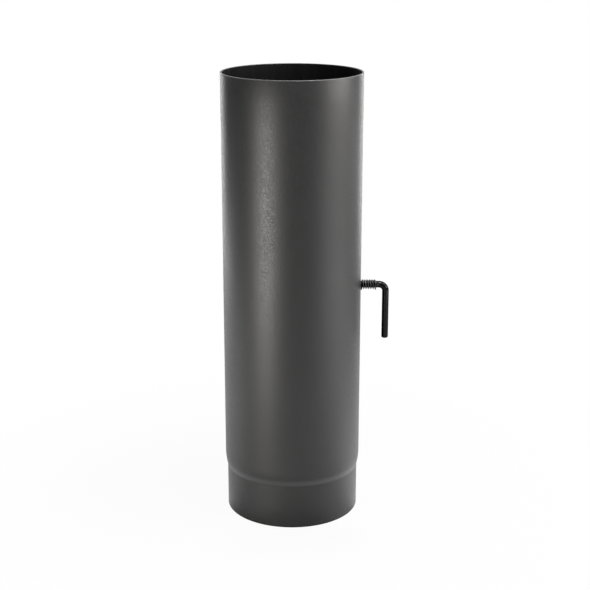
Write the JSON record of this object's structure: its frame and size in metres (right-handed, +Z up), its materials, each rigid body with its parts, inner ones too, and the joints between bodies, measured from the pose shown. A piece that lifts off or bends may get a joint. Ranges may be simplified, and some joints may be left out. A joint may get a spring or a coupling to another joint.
{
  "type": "stove pipe damper",
  "caption": "Straight steel stove pipe with a throttle blade on a cross spindle, turned by a bent rod handle that a coil spring holds against the pipe; spigot below, open socket above.",
  "frame": {"origin": "on the pipe's axis, in the plane of the lower rim it stands on", "axes": "+Z up the pipe from the spigot to the socket; +X along the spindle, towards the handle; -Y towards the picture's camera"},
  "size_m": [0.1858, 0.1544, 0.5],
  "materials": {
    "pipe_paint": "dark grey heat-resistant paint, fine matt grain",
    "blade_paint": "dark grey heat-resistant paint, matt",
    "rod_black": "satin black",
    "spring_black": "satin black",
    "pin_steel": "plain steel, dull"
  },
  "bodies": {
    "pipe": {"pipe_body": "pipe_paint"},
    "damper": {"damper_blade": "blade_paint", "damper_spindle": "rod_black", "handle_spring": "spring_black", "blade_split_pin": "pin_steel"}
  },
  "joints": [
    {"name": "damper_turn", "type": "hinge", "parent": "pipe", "child": "damper", "pos_m": [0, 0, 0.263], "axis": [1, 0, 0], "continuous": true}
  ]
}
